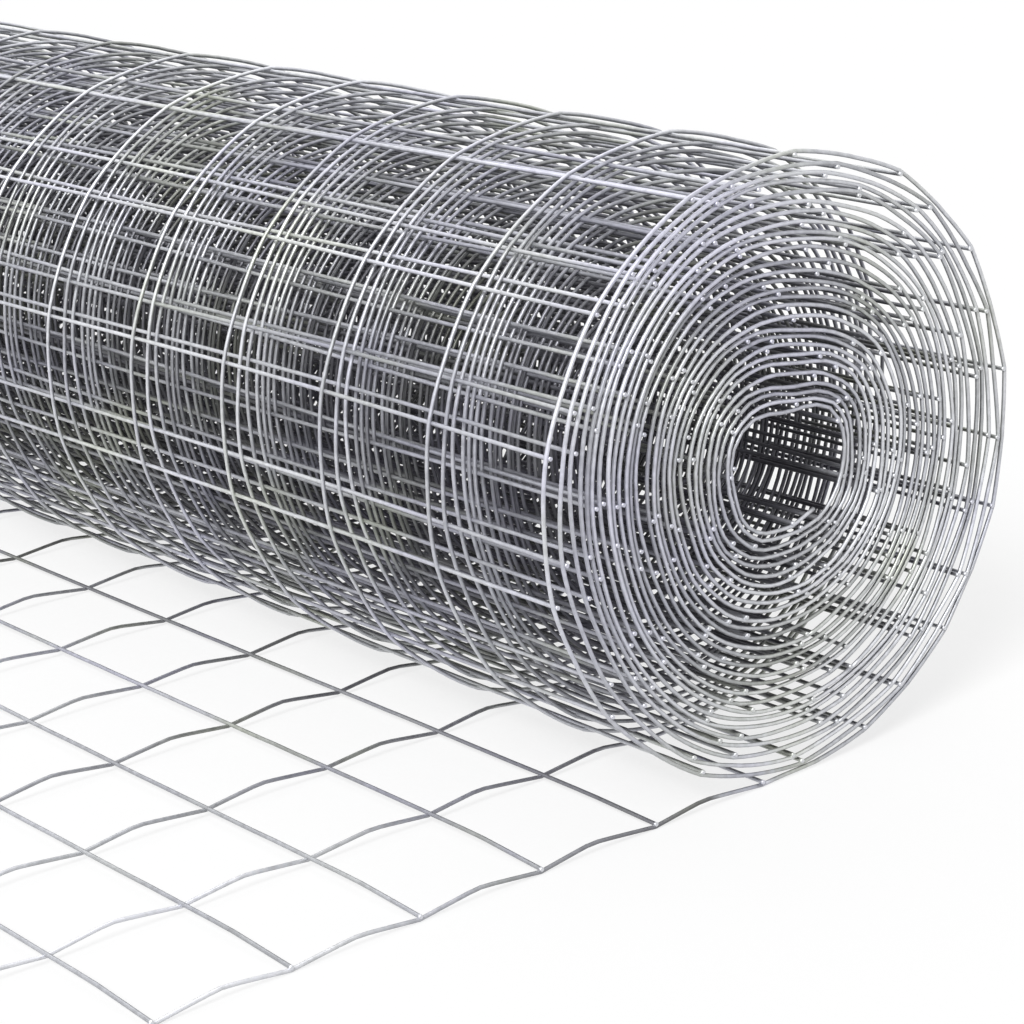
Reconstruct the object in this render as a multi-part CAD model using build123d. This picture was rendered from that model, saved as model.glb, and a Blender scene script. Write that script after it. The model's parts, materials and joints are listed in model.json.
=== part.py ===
from build123d import *
import math
import os

# A roll of welded wire fencing that lies on its side, with the free end of the
# mesh let out flat over the floor from under the roll.
# Millimetres. X runs along the roll's axis, Z is up and the floor is z = 0.
# The free end points to -Y. The origin is the middle of the footprint.

# mesh
line_wires = 14  # wires that run along the fencing, side by side over its width
line_spacing = 76.2
cross_spacing = 63.5
wire_d = 1.9  # thickness of every wire
weld_set = 0.4  # how far two wires sink into each other where they are welded
overhang = 2.0  # cross wires end this far past the outermost line wire
crimp_height = 3.5  # rise of the kink in a line wire, half way between cross wires

# roll
turns = 26  # ridges on the roll's ends; the real one has 28 or so turns
turn_spacing = 4.7  # from one turn to the next
bore_r = 22.5  # hollow middle that a spindle or pipe goes through
groove_depth = 3.0  # of the groove between two turns, on the roll's ends

# free end
hidden_cross = 20.5  # from under the roll's axis to the cross wire that the roll lies on
cross_wires = 5
stub = 31.0  # line wires run on past the last cross wire
under_gap = 0.3  # between the underside of the roll and the wires beneath it

mesh_width = line_spacing * (line_wires - 1)
half_length = mesh_width / 2 + overhang
roll_r = bore_r + (turns - 1) * turn_spacing
first_cross = hidden_cross + cross_spacing
last_cross = first_cross + (cross_wires - 1) * cross_spacing
reach = last_cross + stub
slope = crimp_height / (cross_spacing / 2)  # of a line wire, on each side of its kink
axis_y = (reach - roll_r) / 2  # puts the origin in the middle of the footprint
axis_z = roll_r


def rolled_mesh():
    """The wound part as one turned solid, with a ridge on each end for each turn."""
    end = []
    for i in range(2 * turns - 1):
        between_turns = i % 2 == 1
        x = half_length - groove_depth if between_turns else half_length
        end.append((x, bore_r + i * turn_spacing / 2))
    other_end = [(-x, r) for x, r in reversed(end)]
    profile = make_face(Polyline(*end, *other_end, close=True))
    roll = revolve(profile, axis=Axis.X, revolution_arc=360)
    return Pos(0, axis_y, axis_z) * roll


def wire_end():
    """Distance from under the axis at which the roll lies just above a flat line wire."""
    # where the sloping top of the wire, raised by the gap, meets the circle of the roll
    drop = roll_r - wire_d - under_gap + slope * hidden_cross
    root = math.sqrt((slope * drop) ** 2 - (1 + slope**2) * (drop**2 - roll_r**2))
    return (slope * drop + root) / (1 + slope**2)


def line_wire_heights():
    """Points (y, z) along the underside of a line wire, from its free end to the roll."""
    points = [(reach, slope * stub)]
    for i in reversed(range(cross_wires)):
        at_cross = first_cross + i * cross_spacing
        points.append((at_cross, 0))
        points.append((at_cross - cross_spacing / 2, crimp_height))
    end = wire_end()
    points.append((end, slope * (end - hidden_cross)))
    return [(axis_y - distance, z) for distance, z in points]


def line_wire():
    """One crimped wire of square section, as a zigzag ribbon seen from the side."""
    below = line_wire_heights()
    above = [(y, z + wire_d) for y, z in reversed(below)]
    side_view = Plane.YZ * make_face(Polyline(*below, *above, close=True))
    return extrude(side_view, amount=wire_d / 2, both=True)


def cross_wire():
    """One straight wire across the mesh, square like the line wires it lies on."""
    return Box(2 * half_length, wire_d, wire_d)


def unrolled_mesh():
    """The flat free end: the line wires underneath and the cross wires welded on top."""
    wire = line_wire()
    first_x = -mesh_width / 2
    lines = [Pos(first_x + i * line_spacing, 0, 0) * wire for i in range(line_wires)]
    bar = cross_wire()
    bar_z = 1.5 * wire_d - weld_set
    first_y = axis_y - first_cross
    bars = [Pos(0, first_y - i * cross_spacing, bar_z) * bar for i in range(cross_wires)]
    return Part() + lines + bars


os.makedirs("parts", exist_ok=True)
export_step(rolled_mesh(), "parts/rolled_mesh.step")
export_step(unrolled_mesh(), "parts/unrolled_mesh.step")
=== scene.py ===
import json
import math

import bpy
import numpy as np
from mathutils import Matrix, Vector


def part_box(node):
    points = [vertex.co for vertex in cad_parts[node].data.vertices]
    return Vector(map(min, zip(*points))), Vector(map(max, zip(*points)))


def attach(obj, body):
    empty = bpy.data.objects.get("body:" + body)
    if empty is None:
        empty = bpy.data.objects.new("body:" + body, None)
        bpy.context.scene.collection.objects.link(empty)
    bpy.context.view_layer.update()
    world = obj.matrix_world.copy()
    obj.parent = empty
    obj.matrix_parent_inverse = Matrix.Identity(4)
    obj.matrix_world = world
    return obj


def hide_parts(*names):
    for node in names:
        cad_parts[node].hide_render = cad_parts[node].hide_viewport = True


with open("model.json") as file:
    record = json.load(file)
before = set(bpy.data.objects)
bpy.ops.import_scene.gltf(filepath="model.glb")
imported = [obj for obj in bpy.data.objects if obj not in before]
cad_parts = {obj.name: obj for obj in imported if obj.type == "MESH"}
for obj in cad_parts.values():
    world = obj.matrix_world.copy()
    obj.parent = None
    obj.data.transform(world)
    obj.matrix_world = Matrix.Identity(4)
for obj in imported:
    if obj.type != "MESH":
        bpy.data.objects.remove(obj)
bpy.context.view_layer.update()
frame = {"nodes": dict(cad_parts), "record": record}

# A roll of galvanised welded wire fencing, with its free end let out flat over
# the floor from under the roll. X runs along the roll, Z is up, in metres.
# The whole mesh is one sheet: line wires that run its full length, and cross
# wires welded on their inner side. Places along it are counted in turns, from
# the underside of the roll towards +Y, and inwards.

rollLow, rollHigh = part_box("rolled_mesh")
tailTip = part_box("unrolled_mesh")[0].y
axisY = (rollLow.y + rollHigh.y) / 2
axisZ = (rollLow.z + rollHigh.z) / 2
halfLength = rollHigh.x
rollRadius = rollHigh.z - axisZ
boreMount = next(m for m in frame["record"]["mounts"] if m["name"] == "bore")
boreRadius = boreMount["dims"]["r_mm"] / 1000
fullTurn = 2 * math.pi
up = np.array([0.0, 0.0, 1.0])
alongRoll = np.array([1.0, 0.0, 0.0])

wireMesh = {
    "wire": 0.0019,  # its thickness
    "lineWires": 14,
    "lineSpacing": 0.0762,
    "crossSpacing": 0.0635,
    "weldSet": 0.0004,  # how far two welded wires sink into each other
    "overhang": 0.0014,  # cross wires end this far past the middle of the edge wires
    "stepsPerCell": 10,
    "kinkRound": 0.10,  # 0 is a sharp kink
    "crossSteps": (0.3, 0.5, 0.7),  # shares of a cell at which a cross wire bends
    "crossBend": 0.00012,
    "seed": 96,
}

freeEnd = {
    "crossWires": 5,
    "hiddenCross": 0.0205,  # from under the axis to the cross wire that the roll lies on
    "kink": 0.0035,  # height of the kink in a line wire, between two cross wires
    "kinkSpread": 0.15,
    "kinkShift": 0.05,  # how far a kink lies off the middle of its cell
    "edgeDrop": 0.0024,  # the two edge wires lie lower than the rest
    "besideRoll": 0.45,  # share of that beside the roll, whose weight keeps the mesh down
    "edgeBend": 0.55,  # the share of the last cell in which the cross wires bend down
    "skew": 0.0004,
    "skewWaves": (0.7, 1.9),
    "tipInside": 0.0004,  # the wires end this far inside the CAD part
    "tipRise": 0.9,  # slope of the bare ends, as a share of the slope of a kink
    "tipSteps": 3,
    "flatFrom": 0.03,  # the flat part begins this far past the hidden cross wire
    "flatHeight": 0.012,  # and lies lower than this
    "sides": 8,  # of a wire
}

winding = {
    "pitchInner": 0.0037,  # from one turn to the next
    "pitchExtra": 0.0004,  # the outermost turns are looser by this
    "pitchFade": 8.0,  # turns over which that fades
    "pitchLeast": 0.0027,
    "looseSide": 0.0010,  # and looser still on one side
    "looseAngle": math.radians(78),
    "sideInside": 0.2,  # share of that by which the inner turns make up for it
    "looseWide": 0.0005,  # and looser at both sides than at the top and bottom
    "wideInside": 0.7,
    "frontGaps": (0.0046, 0.0026, 0.0018),  # extra space inside the first turns, over the free end
    "frontPlace": 0.78,  # where that is, in turns from the underside
    "frontWidth": 0.15,
    "uneven": 0.0009,
    "unevenWaves": (0.37, 0.83, 1.31, 2.17, 3.6, 5.3),
    "lobes": 3,  # flatter sides of the roll
    "lobeDepth": 0.0018,  # by which they put it out of round
    "wholeTurns": 28,
    "lastTurn": 28.33,  # where the mesh ends inside
    "fitRounds": 4,  # in which the turns are spaced to end at the bore
    "boreGap": 0.00015,  # between the bore and the cross wires of the last turn
    "innerStub": 0.014,  # length of the bare wire ends inside
    "stubSteps": 3,
    "drawIn": 0.45,  # share of the first turn after which it draws in
    "concave": 0.0034,  # most that a kink lies inside the circle of its turn
    "concaveLeast": 0.75,  # share of that in the shallowest kinks
    "concaveInside": 0.55,  # and in the innermost turns
    "roundSide": 0.35,  # and on the side away from the loose one
    "wireGap": 0.0001,  # least gap from a kink to the next turn
    "kinkShift": 0.06,
    "straight": 0.6,  # 1 makes the outermost half cells quite straight
    "straightFade": 3.5,  # turns over which the wires go from straight to round
    "skew": 0.0010,
    "skewWaves": (0.6, 1.7),
    "sideways": 0.0006,  # turns lie this far off each other along the roll
    "sidewaysMost": 0.0005,
    "sidewaysWaves": (0.31, 0.74, 1.12),
    "wireNoise": 0.00025,
    "noiseWaves": (0.9, 2.3, 4.1),
    "noiseFrom": 0.25,  # turns after which the noise and the sideways shifts begin
}

random = np.random.default_rng(wireMesh["seed"])
stepsPerTurn = 72


def waves(position, frequencies, size):
    # a smooth uneven line, the same on each run
    phases = random.uniform(0, fullTurn, len(frequencies))
    total = sum(np.sin(fullTurn * f * position + p) for f, p in zip(frequencies, phases))
    return size * total / math.sqrt(len(frequencies) / 2)


def windTurns():
    # radius of the line wires at each step round the roll, outermost turn first
    w = winding
    turn = np.arange(stepsPerTurn * (w["wholeTurns"] + 1)) / stepsPerTurn
    loose = np.exp(-turn / w["pitchFade"])
    side = np.cos(fullTurn * turn - w["looseAngle"])
    wide = -np.cos(2 * fullTurn * turn)
    pitch = w["pitchInner"] + w["pitchExtra"] * loose
    pitch = pitch + w["looseSide"] * side * (loose - w["sideInside"])
    pitch = pitch + w["looseWide"] * wide * (loose - w["wideInside"])
    pitch = pitch + waves(turn, w["unevenWaves"], w["uneven"])
    gaps = w["frontGaps"]
    # the turns further in lie closer there, so that the bore stays in the middle
    closer = -sum(gaps) / (w["wholeTurns"] - len(gaps))
    for number in range(w["wholeTurns"] + 1):
        extra = gaps[number] if number < len(gaps) else closer
        away = (turn - number - w["frontPlace"]) / w["frontWidth"]
        pitch = pitch + extra * np.exp(-away ** 2)
    outer = rollRadius - wireMesh["wire"] / 2
    # one and a half wires, because the cross wires lie between the line wires and the bore
    innermost = boreRadius + 1.5 * wireMesh["wire"] - wireMesh["weldSet"] + w["boreGap"]
    firstTurn = turn[:stepsPerTurn]
    flatter = w["lobeDepth"] * (1 - np.cos(w["lobes"] * fullTurn * firstTurn)) / 2
    drawn = np.clip((firstTurn - w["drawIn"]) / (1 - w["drawIn"]), 0, 1)
    drawn = drawn * drawn * (3 - 2 * drawn)
    radius = np.empty(len(turn))
    for _ in range(w["fitRounds"]):
        pitch = np.maximum(pitch, w["pitchLeast"])
        radius[:stepsPerTurn] = outer - flatter - pitch[0] * drawn
        for i in range(stepsPerTurn, len(turn)):
            radius[i] = radius[i - stepsPerTurn] - pitch[i - stepsPerTurn]
        spare = radius[turn < w["lastTurn"]].min() - innermost
        pitch = pitch + spare / w["wholeTurns"]
    return turn, radius, pitch


turnSteps, turnRadius, turnPitch = windTurns()


def radiusAt(turn):
    # before the first whole turn the mesh lies flat on the floor
    flat = turnRadius[0] / np.cos(fullTurn * np.minimum(turn, 0))
    return np.where(turn < 0, flat, np.interp(turn, turnSteps, turnRadius))


def crossingTurns():
    # where the cross wires of the roll fall, each a cell further along the sheet
    at = -math.asin(freeEnd["hiddenCross"] / turnRadius[0]) / fullTurn
    found = [at]
    while at < winding["lastTurn"]:
        middle = at + wireMesh["crossSpacing"] / (2 * fullTurn * radiusAt(at))
        at = float(at + wireMesh["crossSpacing"] / (fullTurn * radiusAt(middle)))
        found.append(at)
    return np.array(found[:-1])


def kinkShape(share, top):
    # 0 at the cross wires and 1 at the kink, with both a little rounded
    rounding = wireMesh["kinkRound"]
    away = np.where(share < top, (top - share) / top, (share - top) / (1 - top))
    low = math.sqrt(1 + rounding * rounding)
    return (low - np.sqrt(away * away + rounding * rounding)) / (low - rounding)


crossTurns = crossingTurns()
lineCount = wireMesh["lineWires"]
lineX = wireMesh["lineSpacing"] * ((lineCount - 1) / 2 - np.arange(lineCount))
cellShare = np.arange(wireMesh["stepsPerCell"]) / wireMesh["stepsPerCell"]
lastRadius = float(radiusAt(crossTurns[-1])) * 1000
print(f"winding: {len(crossTurns)} cross wires in the roll, the last {lastRadius:.1f} mm from the axis")


def alongCells(values):
    # from one value at each cross wire to one at each step of the cells between them
    return values[:, :-1, None] * (1 - cellShare) + values[:, 1:, None] * cellShare


def flatLines():
    # the free end, from its tip to the cross wire under the roll
    e = freeEnd
    number = np.arange(e["crossWires"], -1, -1)
    spread = (lineCount, len(number))
    place = axisY - e["hiddenCross"] - number * wireMesh["crossSpacing"]
    skew = np.array([waves(lineX, e["skewWaves"], e["skew"]) for _ in number]).T
    crossY = place[None, :] + skew
    crossY[:, -1] = place[-1]
    height = np.full(spread, e["edgeDrop"])
    height[[0, -1], :] = 0
    height[:, -2] *= e["besideRoll"]
    height[:, -1] = 0
    height = height + wireMesh["wire"] / 2
    top = 0.5 + random.uniform(-1, 1, spread) * e["kinkShift"]
    kink = e["kink"] * (1 + random.uniform(-1, 1, spread) * e["kinkSpread"])
    y = alongCells(crossY)
    z = alongCells(height) + kink[:, :-1, None] * kinkShape(cellShare, top[:, :-1, None])
    # the bare wire ends past the last cross wire
    tip = tailTip + e["tipInside"]
    tipY = tip + np.arange(e["tipSteps"]) / e["tipSteps"] * (crossY[:, :1] - tip)
    rise = e["kink"] * (crossY[:, :1] - tipY) / (wireMesh["crossSpacing"] / 2)
    tipZ = height[:, :1] + rise * e["tipRise"]
    y = np.hstack([tipY, y.reshape(lineCount, -1)])
    z = np.hstack([tipZ, z.reshape(lineCount, -1)])
    x = np.repeat(lineX[:, None], y.shape[1], axis=1)
    crossing = e["tipSteps"] + np.arange(e["crossWires"]) * len(cellShare)
    return np.stack([x, y, z], axis=2), crossing


def rolledLines():
    # the wound part, from the cross wire under the roll to the end inside
    w = winding
    cells = (lineCount, len(crossTurns) - 1, 1)
    skew = np.array([waves(lineX, w["skewWaves"], w["skew"]) for _ in crossTurns]).T
    skew[:, 0] = 0
    at = crossTurns[None, :] + skew / (fullTurn * radiusAt(crossTurns)[None, :])
    turn = alongCells(at)
    middle = (crossTurns[:-1] + crossTurns[1:]) / 2
    fade = np.exp(-middle / w["straightFade"])
    loose = (1 + np.cos(fullTurn * middle - w["looseAngle"])) / 2
    # the kinks point to the axis, but not as far as the next turn
    room = np.interp(middle, turnSteps, turnPitch) - wireMesh["wire"] - w["wireGap"]
    depth = np.minimum(w["concave"], room)
    depth = depth * (w["concaveInside"] + (1 - w["concaveInside"]) * fade)
    depth = depth * (w["roundSide"] + (1 - w["roundSide"]) * loose)
    depth = depth[None, :, None] * random.uniform(w["concaveLeast"], 1, cells)
    top = 0.5 + random.uniform(-w["kinkShift"], w["kinkShift"], cells)
    radius = radiusAt(turn) - depth * kinkShape(cellShare, top)
    # the half cells of the outer turns are straight, those inside are bent round
    halfShare = (2 * cellShare) % 1
    quarterAngle = fullTurn * np.diff(crossTurns) / 4
    bulge = radiusAt(middle) * (1 - np.cos(quarterAngle)) * w["straight"] * loose * fade
    radius = radius - bulge[None, :, None] * 4 * halfShare * (1 - halfShare)
    turn = np.hstack([turn.reshape(lineCount, -1), at[:, -1:]])
    radius = np.hstack([radius.reshape(lineCount, -1), radiusAt(at[:, -1:])])
    inside = np.clip(turn - w["noiseFrom"], 0, 1)
    noise = np.array([waves(row, w["noiseWaves"], w["wireNoise"]) for row in turn])
    radius = radius - np.abs(noise) * inside
    aside = waves(turn[0], w["sidewaysWaves"], w["sideways"]) * inside[0]
    aside = np.clip(aside, -w["sidewaysMost"], w["sidewaysMost"])
    angle = fullTurn * turn
    x = lineX[:, None] + aside[None, :]
    y = axisY + radius * np.sin(angle)
    z = axisZ - radius * np.cos(angle)
    # past the last cross wire the wires run on straight, as a chord of the bore
    heading = angle[:, -1:] + np.arcsin(w["innerStub"] / (2 * radius[:, -1:]))
    run = np.linspace(0, w["innerStub"], w["stubSteps"] + 1)[1:]
    x = np.hstack([x, np.repeat(x[:, -1:], w["stubSteps"], axis=1)])
    y = np.hstack([y, y[:, -1:] + run * np.cos(heading)])
    z = np.hstack([z, z[:, -1:] + run * np.sin(heading)])
    crossing = np.arange(len(crossTurns)) * len(cellShare)
    return np.stack([x, y, z], axis=2), crossing


flatPath, flatCrossing = flatLines()
rolledPath, rolledCrossing = rolledLines()
flatCount = len(flatCrossing)
linePath = np.concatenate([flatPath, rolledPath], axis=1)
lineCrossing = np.concatenate([flatCrossing, flatPath.shape[1] + rolledCrossing])
lineTurn = np.concatenate([np.full(flatCount, -1.0), crossTurns])


def onFloor(points):
    # on the flat part of the free end
    e = freeEnd
    beyond = points[..., 1] < axisY - e["hiddenCross"] - e["flatFrom"]
    return beyond & (points[..., 2] < e["flatHeight"])


def inward(points):
    # from the line wires to the cross wires: up on the floor, to the axis in the roll
    across = np.stack([0 * points[..., 0], axisY - points[..., 1], axisZ - points[..., 2]], axis=-1)
    across = across / np.linalg.norm(across, axis=-1, keepdims=True)
    return np.where(onFloor(points)[..., None], up, across)


def crossPath(k):
    # one cross wire from edge to edge, welded on the inner side of each line wire
    w = wireMesh
    joints = linePath[:, lineCrossing[k]]
    # the one that the roll lies on is still above its line wires
    off = np.repeat(up[None, :], lineCount, axis=0) if k == flatCount else inward(joints)
    joints = joints + off * (w["wire"] - w["weldSet"])
    points = []
    for i in range(lineCount - 1):
        here, there = joints[i], joints[i + 1]
        points.append(here)
        for share in w["crossSteps"]:
            point = here * (1 - share) + there * share
            if k < flatCount and i in (0, lineCount - 2):
                fromEdge = share if i == 0 else 1 - share
                lift = min(fromEdge / freeEnd["edgeBend"], 1)
                edge, inner = (here, there) if i == 0 else (there, here)
                point[2] = edge[2] + (inner[2] - edge[2]) * lift
            else:
                point = point + off[i] * random.uniform(-1, 1) * w["crossBend"]
            points.append(point)
    points.append(joints[-1])
    reach = w["overhang"] * alongRoll
    return np.array([joints[0] + reach, *points, joints[-1] - reach]), off[0]


# painted shade and highlights, put into the wires' tone by where they lie in the roll and which way
# they face
paintedShade = {
    "least": 0.12,  # share of its brightness that a wire keeps in the painted shade deep in the roll
    "fromOutside": 0.052,  # depth over which the painted shade darkens a wire, from the outermost turn
    "fromEnd": 0.018,  # the same from the roll's ends
    "underneath": 0.5,  # the first of the two is less by this share on the underside
    "litBelow": 0.15,  # and a painted highlight makes the outermost wires brighter there
    "facingOut": 0.4,  # by how much the painted light makes a side facing out of the roll brighter
    "facingEnd": 0.45,  # and one facing the nearer end
    "freeEnd": 0.14,  # share kept by the sides of the flat wires beside the roll, in its painted shadow
    "freeEndReach": 0.30,  # and how far from the roll they are bright again
    "freeEndTop": 0.45,  # share of the rest that their tops get back, as painted light
}


def paintedShading(points, normals):
    # painted shade and highlight: 1 on a wire at the outside of the roll, and less deep inside or
    # facing its middle; more on the outer underside, and less on the free end beside the roll
    d = paintedShade
    across = points - np.array([0, axisY, axisZ])
    across[:, 0] = 0
    radius = np.linalg.norm(across, axis=1)
    outward = 1 - d["facingOut"] + d["facingOut"] * (normals * across).sum(axis=1) / radius
    endward = 1 - d["facingEnd"] + d["facingEnd"] * normals[:, 0] * np.sign(points[:, 0])
    low = np.clip(-across[:, 2] / radius, 0, 1)
    reach = d["fromOutside"] * (1 - d["underneath"] * low)
    fromOutside = np.exp(-(np.clip(rollRadius - radius, 0, None) / reach) ** 2)
    fromOutside = fromOutside * (1 + d["litBelow"] * low)
    fromEnd = np.exp(-np.clip(halfLength - np.abs(points[:, 0]), 0, None) / d["fromEnd"])
    inRoll = d["least"] + (1 - d["least"]) * np.maximum(outward * fromOutside, endward * fromEnd)
    away = np.clip(-across[:, 1] / d["freeEndReach"], 0, 1)
    beside = d["freeEnd"] + (1 - d["freeEnd"]) * away
    beside = beside + d["freeEndTop"] * (1 - beside) * (1 - np.abs(normals[:, 0]))
    return np.where(onFloor(points), beside, inRoll)


weld = {
    "halfWidth": 0.00108,
    "halfHeight": 0.0010,
    "turns": 2.0,  # further in than this only the edge wires have them
    "sides": 8,
    "rows": 4,
}


class Bundle:
    # gathers many tubes and beads into one mesh
    def __init__(self):
        self.points, self.tones = [], []
        self.corners, self.sizes, self.smooth = [], [], []
        self.count = 0

    def addPoints(self, points, tone):
        # gives back the number of the first one
        start = self.count
        self.points.append(points)
        self.tones.append(tone)
        self.count += len(points)
        return start

    def addFaces(self, faces, smooth):
        self.corners.append(faces.ravel())
        self.sizes.append(np.full(len(faces), faces.shape[1]))
        self.smooth.append(np.full(len(faces), smooth))

    def tube(self, path, reference, sides, tone):
        along = np.gradient(path, axis=0)
        along /= np.linalg.norm(along, axis=1, keepdims=True)
        first = np.cross(along, reference)
        first /= np.linalg.norm(first, axis=1, keepdims=True)
        second = np.cross(along, first)
        side = np.arange(sides)
        angle = (side * fullTurn / sides)[None, :, None]
        ring = np.cos(angle) * first[:, None] + np.sin(angle) * second[:, None]
        points = (path[:, None] + ring * wireMesh["wire"] / 2).reshape(-1, 3)
        # each vertex's tone takes the painted shade and highlights of where it lies and which way it
        # faces
        tone = np.repeat(tone, sides) * paintedShading(points, ring.reshape(-1, 3))
        start = self.addPoints(points, tone)
        row = start + np.arange(len(path) - 1)[:, None] * sides
        a = (row + side).ravel()
        b = (row + (side + 1) % sides).ravel()
        self.addFaces(np.stack([a, b, b + sides, a + sides], axis=1), True)
        last = start + (len(path) - 1) * sides
        self.addFaces(np.array([start + side[::-1], last + side]), False)

    def bead(self, middle, reference, tone):
        # a weld, flat across the two wires
        sides, rows = weld["sides"], weld["rows"]
        wide, tall = weld["halfWidth"], weld["halfHeight"]
        side = np.arange(sides)
        angle = (side * fullTurn / sides)[:, None]
        circle = np.cos(angle) * alongRoll + np.sin(angle) * np.cross(reference, alongRoll)
        falls = np.arange(1, rows) * math.pi / rows
        rings = [wide * math.sin(v) * circle + tall * math.cos(v) * reference for v in falls]
        points = middle + np.vstack([tall * reference, *rings, -tall * reference])
        # the bead's tone takes the painted shade and highlights of where it lies and which way it faces
        start = self.addPoints(points, tone * paintedShading(points, (points - middle) / wide))
        firstRow = start + 1
        lastRow = firstRow + (rows - 2) * sides
        nextSide = (side + 1) % sides
        for row in range(firstRow, lastRow, sides):
            a = row + side
            b = row + nextSide
            self.addFaces(np.stack([a, a + sides, b + sides, b], axis=1), True)
        head = np.full(sides, start)
        foot = np.full(sides, start + len(points) - 1)
        self.addFaces(np.stack([head, firstRow + side, firstRow + nextSide], axis=1), True)
        self.addFaces(np.stack([foot, lastRow + nextSide, lastRow + side], axis=1), True)

    def build(self, name):
        points = np.vstack(self.points)
        corners, sizes = np.concatenate(self.corners), np.concatenate(self.sizes)
        data = bpy.data.meshes.new(name)
        data.vertices.add(len(points))
        data.vertices.foreach_set("co", points.astype(np.float32).ravel())
        data.loops.add(len(corners))
        data.loops.foreach_set("vertex_index", corners.astype(np.int32))
        data.polygons.add(len(sizes))
        data.polygons.foreach_set("loop_start", (np.cumsum(sizes) - sizes).astype(np.int32))
        data.polygons.foreach_set("use_smooth", np.concatenate(self.smooth))
        # the zinc's own tone with the painted shade and highlights in it
        tone = data.attributes.new("wireTone", "FLOAT", "POINT")
        tone.data.foreach_set("value", np.concatenate(self.tones).astype(np.float32))
        data.update(calc_edges=True)
        data.validate()
        piece = bpy.data.objects.new(name, data)
        bpy.context.collection.objects.link(piece)
        triangles = int((sizes - 2).sum())
        print(f"{name}: {triangles} triangles")
        return piece


# how bright the zinc of each wire is, before the painted shade darkens it; the free end's lower tones
# are painted shade as well
tones = {
    "flatLine": 0.68,  # the line wires of the free end, darker than the roll's as painted shade
    "flatCross": 0.55,
    "rolled": 0.80,
    "lineUneven": 0.12,
    "lineWaves": (0.011, 0.043, 0.17),
    "crossSpread": 0.12,  # from one cross wire to the next
    "crossUneven": 0.07,  # along each of them
    "crossWaves": (1.1, 2.7),
    "cutEnd": 1.4,  # the cut ends are bright
    "weld": 0.7,
}


def meshPiece(name, first, last, sides):
    # the sheet from one crossing to another, with the cross wires between them
    t = tones
    piece = Bundle()
    flat = name == "free_end"
    lineTone = t["flatLine"] if flat else t["rolled"]
    crossTone = t["flatCross"] if flat else t["rolled"]
    start = 0 if first == 0 else lineCrossing[first]
    end = linePath.shape[1] if last == len(lineCrossing) else lineCrossing[last] + 1
    place = np.arange(start, end) / len(cellShare)
    for i in range(lineCount):
        tone = lineTone + waves(place, t["lineWaves"], t["lineUneven"])
        piece.tube(linePath[i, start:end], alongRoll, sides, tone)
    for k in range(first, last):
        path, reference = crossPath(k)
        tone = crossTone + random.uniform(-t["crossSpread"], t["crossSpread"])
        tone = tone + waves(path[:, 0], t["crossWaves"], t["crossUneven"])
        tone[[0, -1]] = t["cutEnd"]
        piece.tube(path, reference, sides, tone)
        everyLine = lineTurn[k] < weld["turns"]
        for i in range(lineCount) if everyLine else (0, lineCount - 1):
            joint = linePath[i, lineCrossing[k]]
            middle = joint + reference * (wireMesh["wire"] - wireMesh["weldSet"]) / 2
            piece.bead(middle, reference, t["weld"])
    return piece.build(name)


class Value:
    # a socket that takes Python's operators, by adding Math nodes
    def __init__(self, finish, socket):
        self.finish, self.socket = finish, socket

    def maths(self, operation, left, right):
        return self.finish.add("ShaderNodeMath", {"operation": operation}, {0: left, 1: right})

    def __add__(self, other):
        return self.maths("ADD", self, other)

    def __sub__(self, other):
        return self.maths("SUBTRACT", self, other)

    def __rsub__(self, other):
        return self.maths("SUBTRACT", other, self)

    def __mul__(self, other):
        return self.maths("MULTIPLY", self, other)

    __radd__, __rmul__ = __add__, __mul__


class Finish:
    # adds and joins the nodes of one material, or of the world
    def __init__(self, tree):
        self.tree = tree
        tree.nodes.clear()

    def add(self, kind, settings=None, sockets=None, output=0):
        node = self.tree.nodes.new(kind)
        for name, value in (settings or {}).items():
            if name == "stops":
                while len(node.color_ramp.elements) < len(value):
                    node.color_ramp.elements.new(0.5)
                for element, (position, colour) in zip(node.color_ramp.elements, value):
                    element.position, element.color = position, (*colour, 1)
            else:
                setattr(node, name, value)
        for name, value in (sockets or {}).items():
            if isinstance(value, Value):
                self.tree.links.new(value.socket, node.inputs[name])
            else:
                node.inputs[name].default_value = value
        return Value(self, node.outputs[output]) if len(node.outputs) else None

    def slope(self, value, low, high, least=0.0, most=1.0):
        # from least to most while the value goes from low to high
        return self.add("ShaderNodeMapRange", {}, {0: value, 1: low, 2: high, 3: least, 4: most})

    def tint(self, factor, first, second):
        # 6 and 7 are the colour sockets, and 2 is the colour that comes out
        settings = {"data_type": "RGBA", "blend_type": "MULTIPLY"}
        return self.add("ShaderNodeMix", settings, {0: factor, 6: first, 7: second}, output=2)

    def raysOfTheEye(self):
        # 1 for what is seen straight, in a reflection or through something clear
        eye = self.add("ShaderNodeLightPath", output="Is Camera Ray")
        gloss = self.add("ShaderNodeLightPath", output="Is Glossy Ray")
        through = self.add("ShaderNodeLightPath", output="Is Transmission Ray")
        return eye + gloss + through


def newMaterial(name):
    material = bpy.data.materials.new(name)
    material.use_nodes = True
    return material, Finish(material.node_tree)


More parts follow.
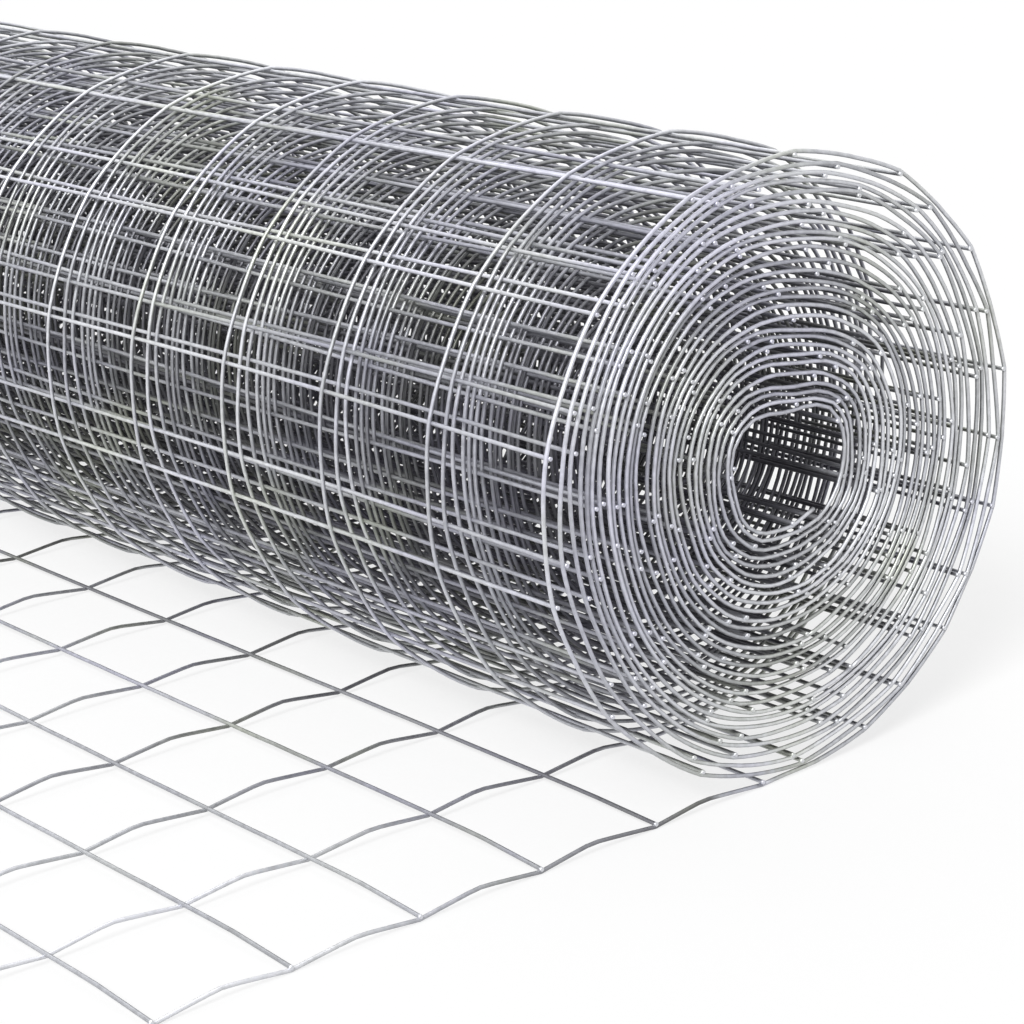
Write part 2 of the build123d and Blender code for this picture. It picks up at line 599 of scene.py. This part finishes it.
zinc = {
    # the darker two colours are those of the painted shade deep in the roll, and the brightest is
    # reached by the painted highlights and the cut ends
    "deep": (0.033, 0.031, 0.044),
    "halfShade": (0.20, 0.20, 0.22),
    "plain": (0.50, 0.51, 0.54),
    "bright": (0.85, 0.86, 0.90),
    "levels": (0.0, 0.25, 0.55, 0.9),  # at which those four lie
    "lavender": (0.92, 0.91, 1.0, 1),
    "lavenderScale": 9.0,
    "lavenderLimits": (0.42, 0.62),  # of the noise, from no tint to the whole
    "olive": (0.97, 1.0, 0.78, 1),
    "oliveScale": 14.0,
    "oliveSeed": 3.7,
    "oliveLimits": (0.50, 0.66),
    "oliveDull": 1.25,  # the olive is this less the brightness, so it's strongest inside
    "freeEndTint": 0.25,  # share of both tints on the free end, which is plain grey
    "freeEndLimits": (-0.10, -0.03),  # along Y, where that share goes up to the whole
    "spangle": 0.6,  # by how much the spangles change the brightness
    "spangleScale": 260.0,
    "roughness": 0.32,
    "roughnessSpread": 0.20,
    "metallic": 0.5,
    "bump": 0.35,
    "bumpDepth": 0.00008,
    "grainScale": 1400.0,
}


def galvanised():
    # zinc coat: pale and dim runs along the wire, cool and warm patches, fine grain, and the painted
    # shade and highlights carried in the wire tone
    z = zinc
    material, finish = newMaterial("galvanised_wire")
    place = finish.add("ShaderNodeTexCoord", output="Object")
    patch = finish.add("ShaderNodeTexNoise", {},
                       {"Vector": place, "Scale": z["lavenderScale"], "Detail": 2.0})
    warm = finish.add("ShaderNodeTexNoise", {"noise_dimensions": "4D"},
                      {"Vector": place, "W": z["oliveSeed"], "Scale": z["oliveScale"], "Detail": 1.0})
    spangle = finish.add("ShaderNodeTexNoise", {},
                         {"Vector": place, "Scale": z["spangleScale"], "Detail": 2.0})
    grain = finish.add("ShaderNodeTexNoise", {},
                       {"Vector": place, "Scale": z["grainScale"], "Detail": 3.0})
    # the wire tone carries the zinc's own tone and the painted shade and highlights
    tone = finish.add("ShaderNodeAttribute", {"attribute_name": "wireTone"}, output="Fac")
    level = tone * (spangle * z["spangle"] + (1 - z["spangle"] / 2))
    stops = list(zip(z["levels"], (z["deep"], z["halfShade"], z["plain"], z["bright"])))
    colour = finish.add("ShaderNodeValToRGB", {"stops": stops}, {0: level})
    placeY = finish.add("ShaderNodeSeparateXYZ", {}, {"Vector": place}, output="Y")
    tinted = finish.slope(placeY, *z["freeEndLimits"], z["freeEndTint"])
    cool = finish.slope(patch, *z["lavenderLimits"], 0.0, tinted)
    colour = finish.tint(cool, colour, z["lavender"])
    yellow = finish.slope(warm, *z["oliveLimits"], 0.0, tinted * (z["oliveDull"] - level))
    colour = finish.tint(yellow, colour, z["olive"])
    roughness = spangle * z["roughnessSpread"] + z["roughness"]
    bump = finish.add("ShaderNodeBump", {},
                      {"Strength": z["bump"], "Distance": z["bumpDepth"], "Height": grain})
    shader = finish.add("ShaderNodeBsdfPrincipled", {}, {
        "Base Color": colour, "Metallic": z["metallic"], "Roughness": roughness, "Normal": bump,
    })
    finish.add("ShaderNodeOutputMaterial", {}, {"Surface": shader})
    return material


wireFinish = galvanised()
for node in frame["nodes"].values():
    node.data.materials.clear()
    node.data.materials.append(wireFinish)

# the turn before which each piece of the roll ends, and the sides of its wires
rollPieces = {
    "outermost_turns": (3, 8),
    "outer_turns": (8, 8),
    "inner_turns": (15, 6),
    "innermost_turns": (math.inf, 6),
}

meshPieces = [meshPiece("free_end", 0, flatCount, freeEnd["sides"])]
first = flatCount
for name, (limit, sides) in rollPieces.items():
    last = int((lineTurn < limit).sum())
    meshPieces.append(meshPiece(name, first, last, sides))
    first = last
for piece in meshPieces:
    piece.data.materials.append(wireFinish)
    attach(piece, "root")
    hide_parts("unrolled_mesh" if piece.name == "free_end" else "rolled_mesh")
print("wire mesh done")

studio = {
    "floor": (0.24, 0.24, 0.24, 1),
    "floorWhite": 0.78,  # what the eye sees of the floor besides the lamps' light on it
    "floorSize": 30.0,
    "floorDrop": 0.0002,  # from the underside of the wires
    "fill": 0.12,  # light from all round
    "key": 2.7,
    "keySoftness": math.radians(24),
    "keyFrom": (0.65, -1.15, 1.25),
    "top": 0.75,
    "topSoftness": math.radians(60),
    "topFrom": (-0.4, 0.2, 1.0),
}


def softSun(name, strength, softness, comesFrom):
    data = bpy.data.lights.new(name, "SUN")
    data.energy, data.angle = strength, softness
    lamp = bpy.data.objects.new(name, data)
    lamp.rotation_euler = Vector(comesFrom).to_track_quat("Z", "Y").to_euler()
    bpy.context.collection.objects.link(lamp)


def studioFloor():
    half = studio["floorSize"] / 2
    data = bpy.data.meshes.new("studio_floor")
    corners = [(-half, -half), (half, -half), (half, half), (-half, half)]
    data.from_pydata([(x, y, -studio["floorDrop"]) for x, y in corners], [], [(0, 1, 2, 3)])
    floor = bpy.data.objects.new("studio_floor", data)
    bpy.context.collection.objects.link(floor)
    material, finish = newMaterial("studio_floor")
    lit = finish.add("ShaderNodeBsdfDiffuse", {}, {"Color": studio["floor"]})
    strength = finish.raysOfTheEye() * studio["floorWhite"]
    white = finish.add("ShaderNodeEmission", {}, {"Color": (1, 1, 1, 1), "Strength": strength})
    shader = finish.add("ShaderNodeAddShader", {}, {0: lit, 1: white})
    finish.add("ShaderNodeOutputMaterial", {}, {"Surface": shader})
    data.materials.append(material)


def studioWorld():
    # white to the eye and in reflections, and a softer fill elsewhere
    world = bpy.data.worlds.new("studio")
    world.use_nodes = True
    finish = Finish(world.node_tree)
    strength = finish.raysOfTheEye() * (1 - studio["fill"]) + studio["fill"]
    shader = finish.add("ShaderNodeBackground", {}, {"Color": (1, 1, 1, 1), "Strength": strength})
    finish.add("ShaderNodeOutputWorld", {}, {"Surface": shader})
    bpy.context.scene.world = world


studioFloor()
studioWorld()
softSun("key", studio["key"], studio["keySoftness"], studio["keyFrom"])
softSun("top", studio["top"], studio["topSoftness"], studio["topFrom"])
bpy.context.scene.view_settings.view_transform = "Standard"
print("studio done")

# the photo's camera
view = {
    "lens": 106.14,
    "sensor": 36.0,
    "clip": (0.01, 50.0),
    "place": (1.389, -0.7459, 0.5179),
    "look": (-0.74714, 0.59267, -0.30086),
    "right": (0.63376, 0.77167, -0.05371),
}


def addCamera():
    look = Vector(view["look"]).normalized()
    right = Vector(view["right"]).normalized()
    upward = right.cross(look).normalized()
    data = bpy.data.cameras.new("camera")
    data.lens, data.sensor_width = view["lens"], view["sensor"]
    data.clip_start, data.clip_end = view["clip"]
    camera = bpy.data.objects.new("camera", data)
    turned = Matrix((right, upward, -look)).transposed().to_4x4()
    camera.matrix_world = Matrix.Translation(view["place"]) @ turned
    bpy.context.collection.objects.link(camera)
    bpy.context.scene.camera = camera


addCamera()
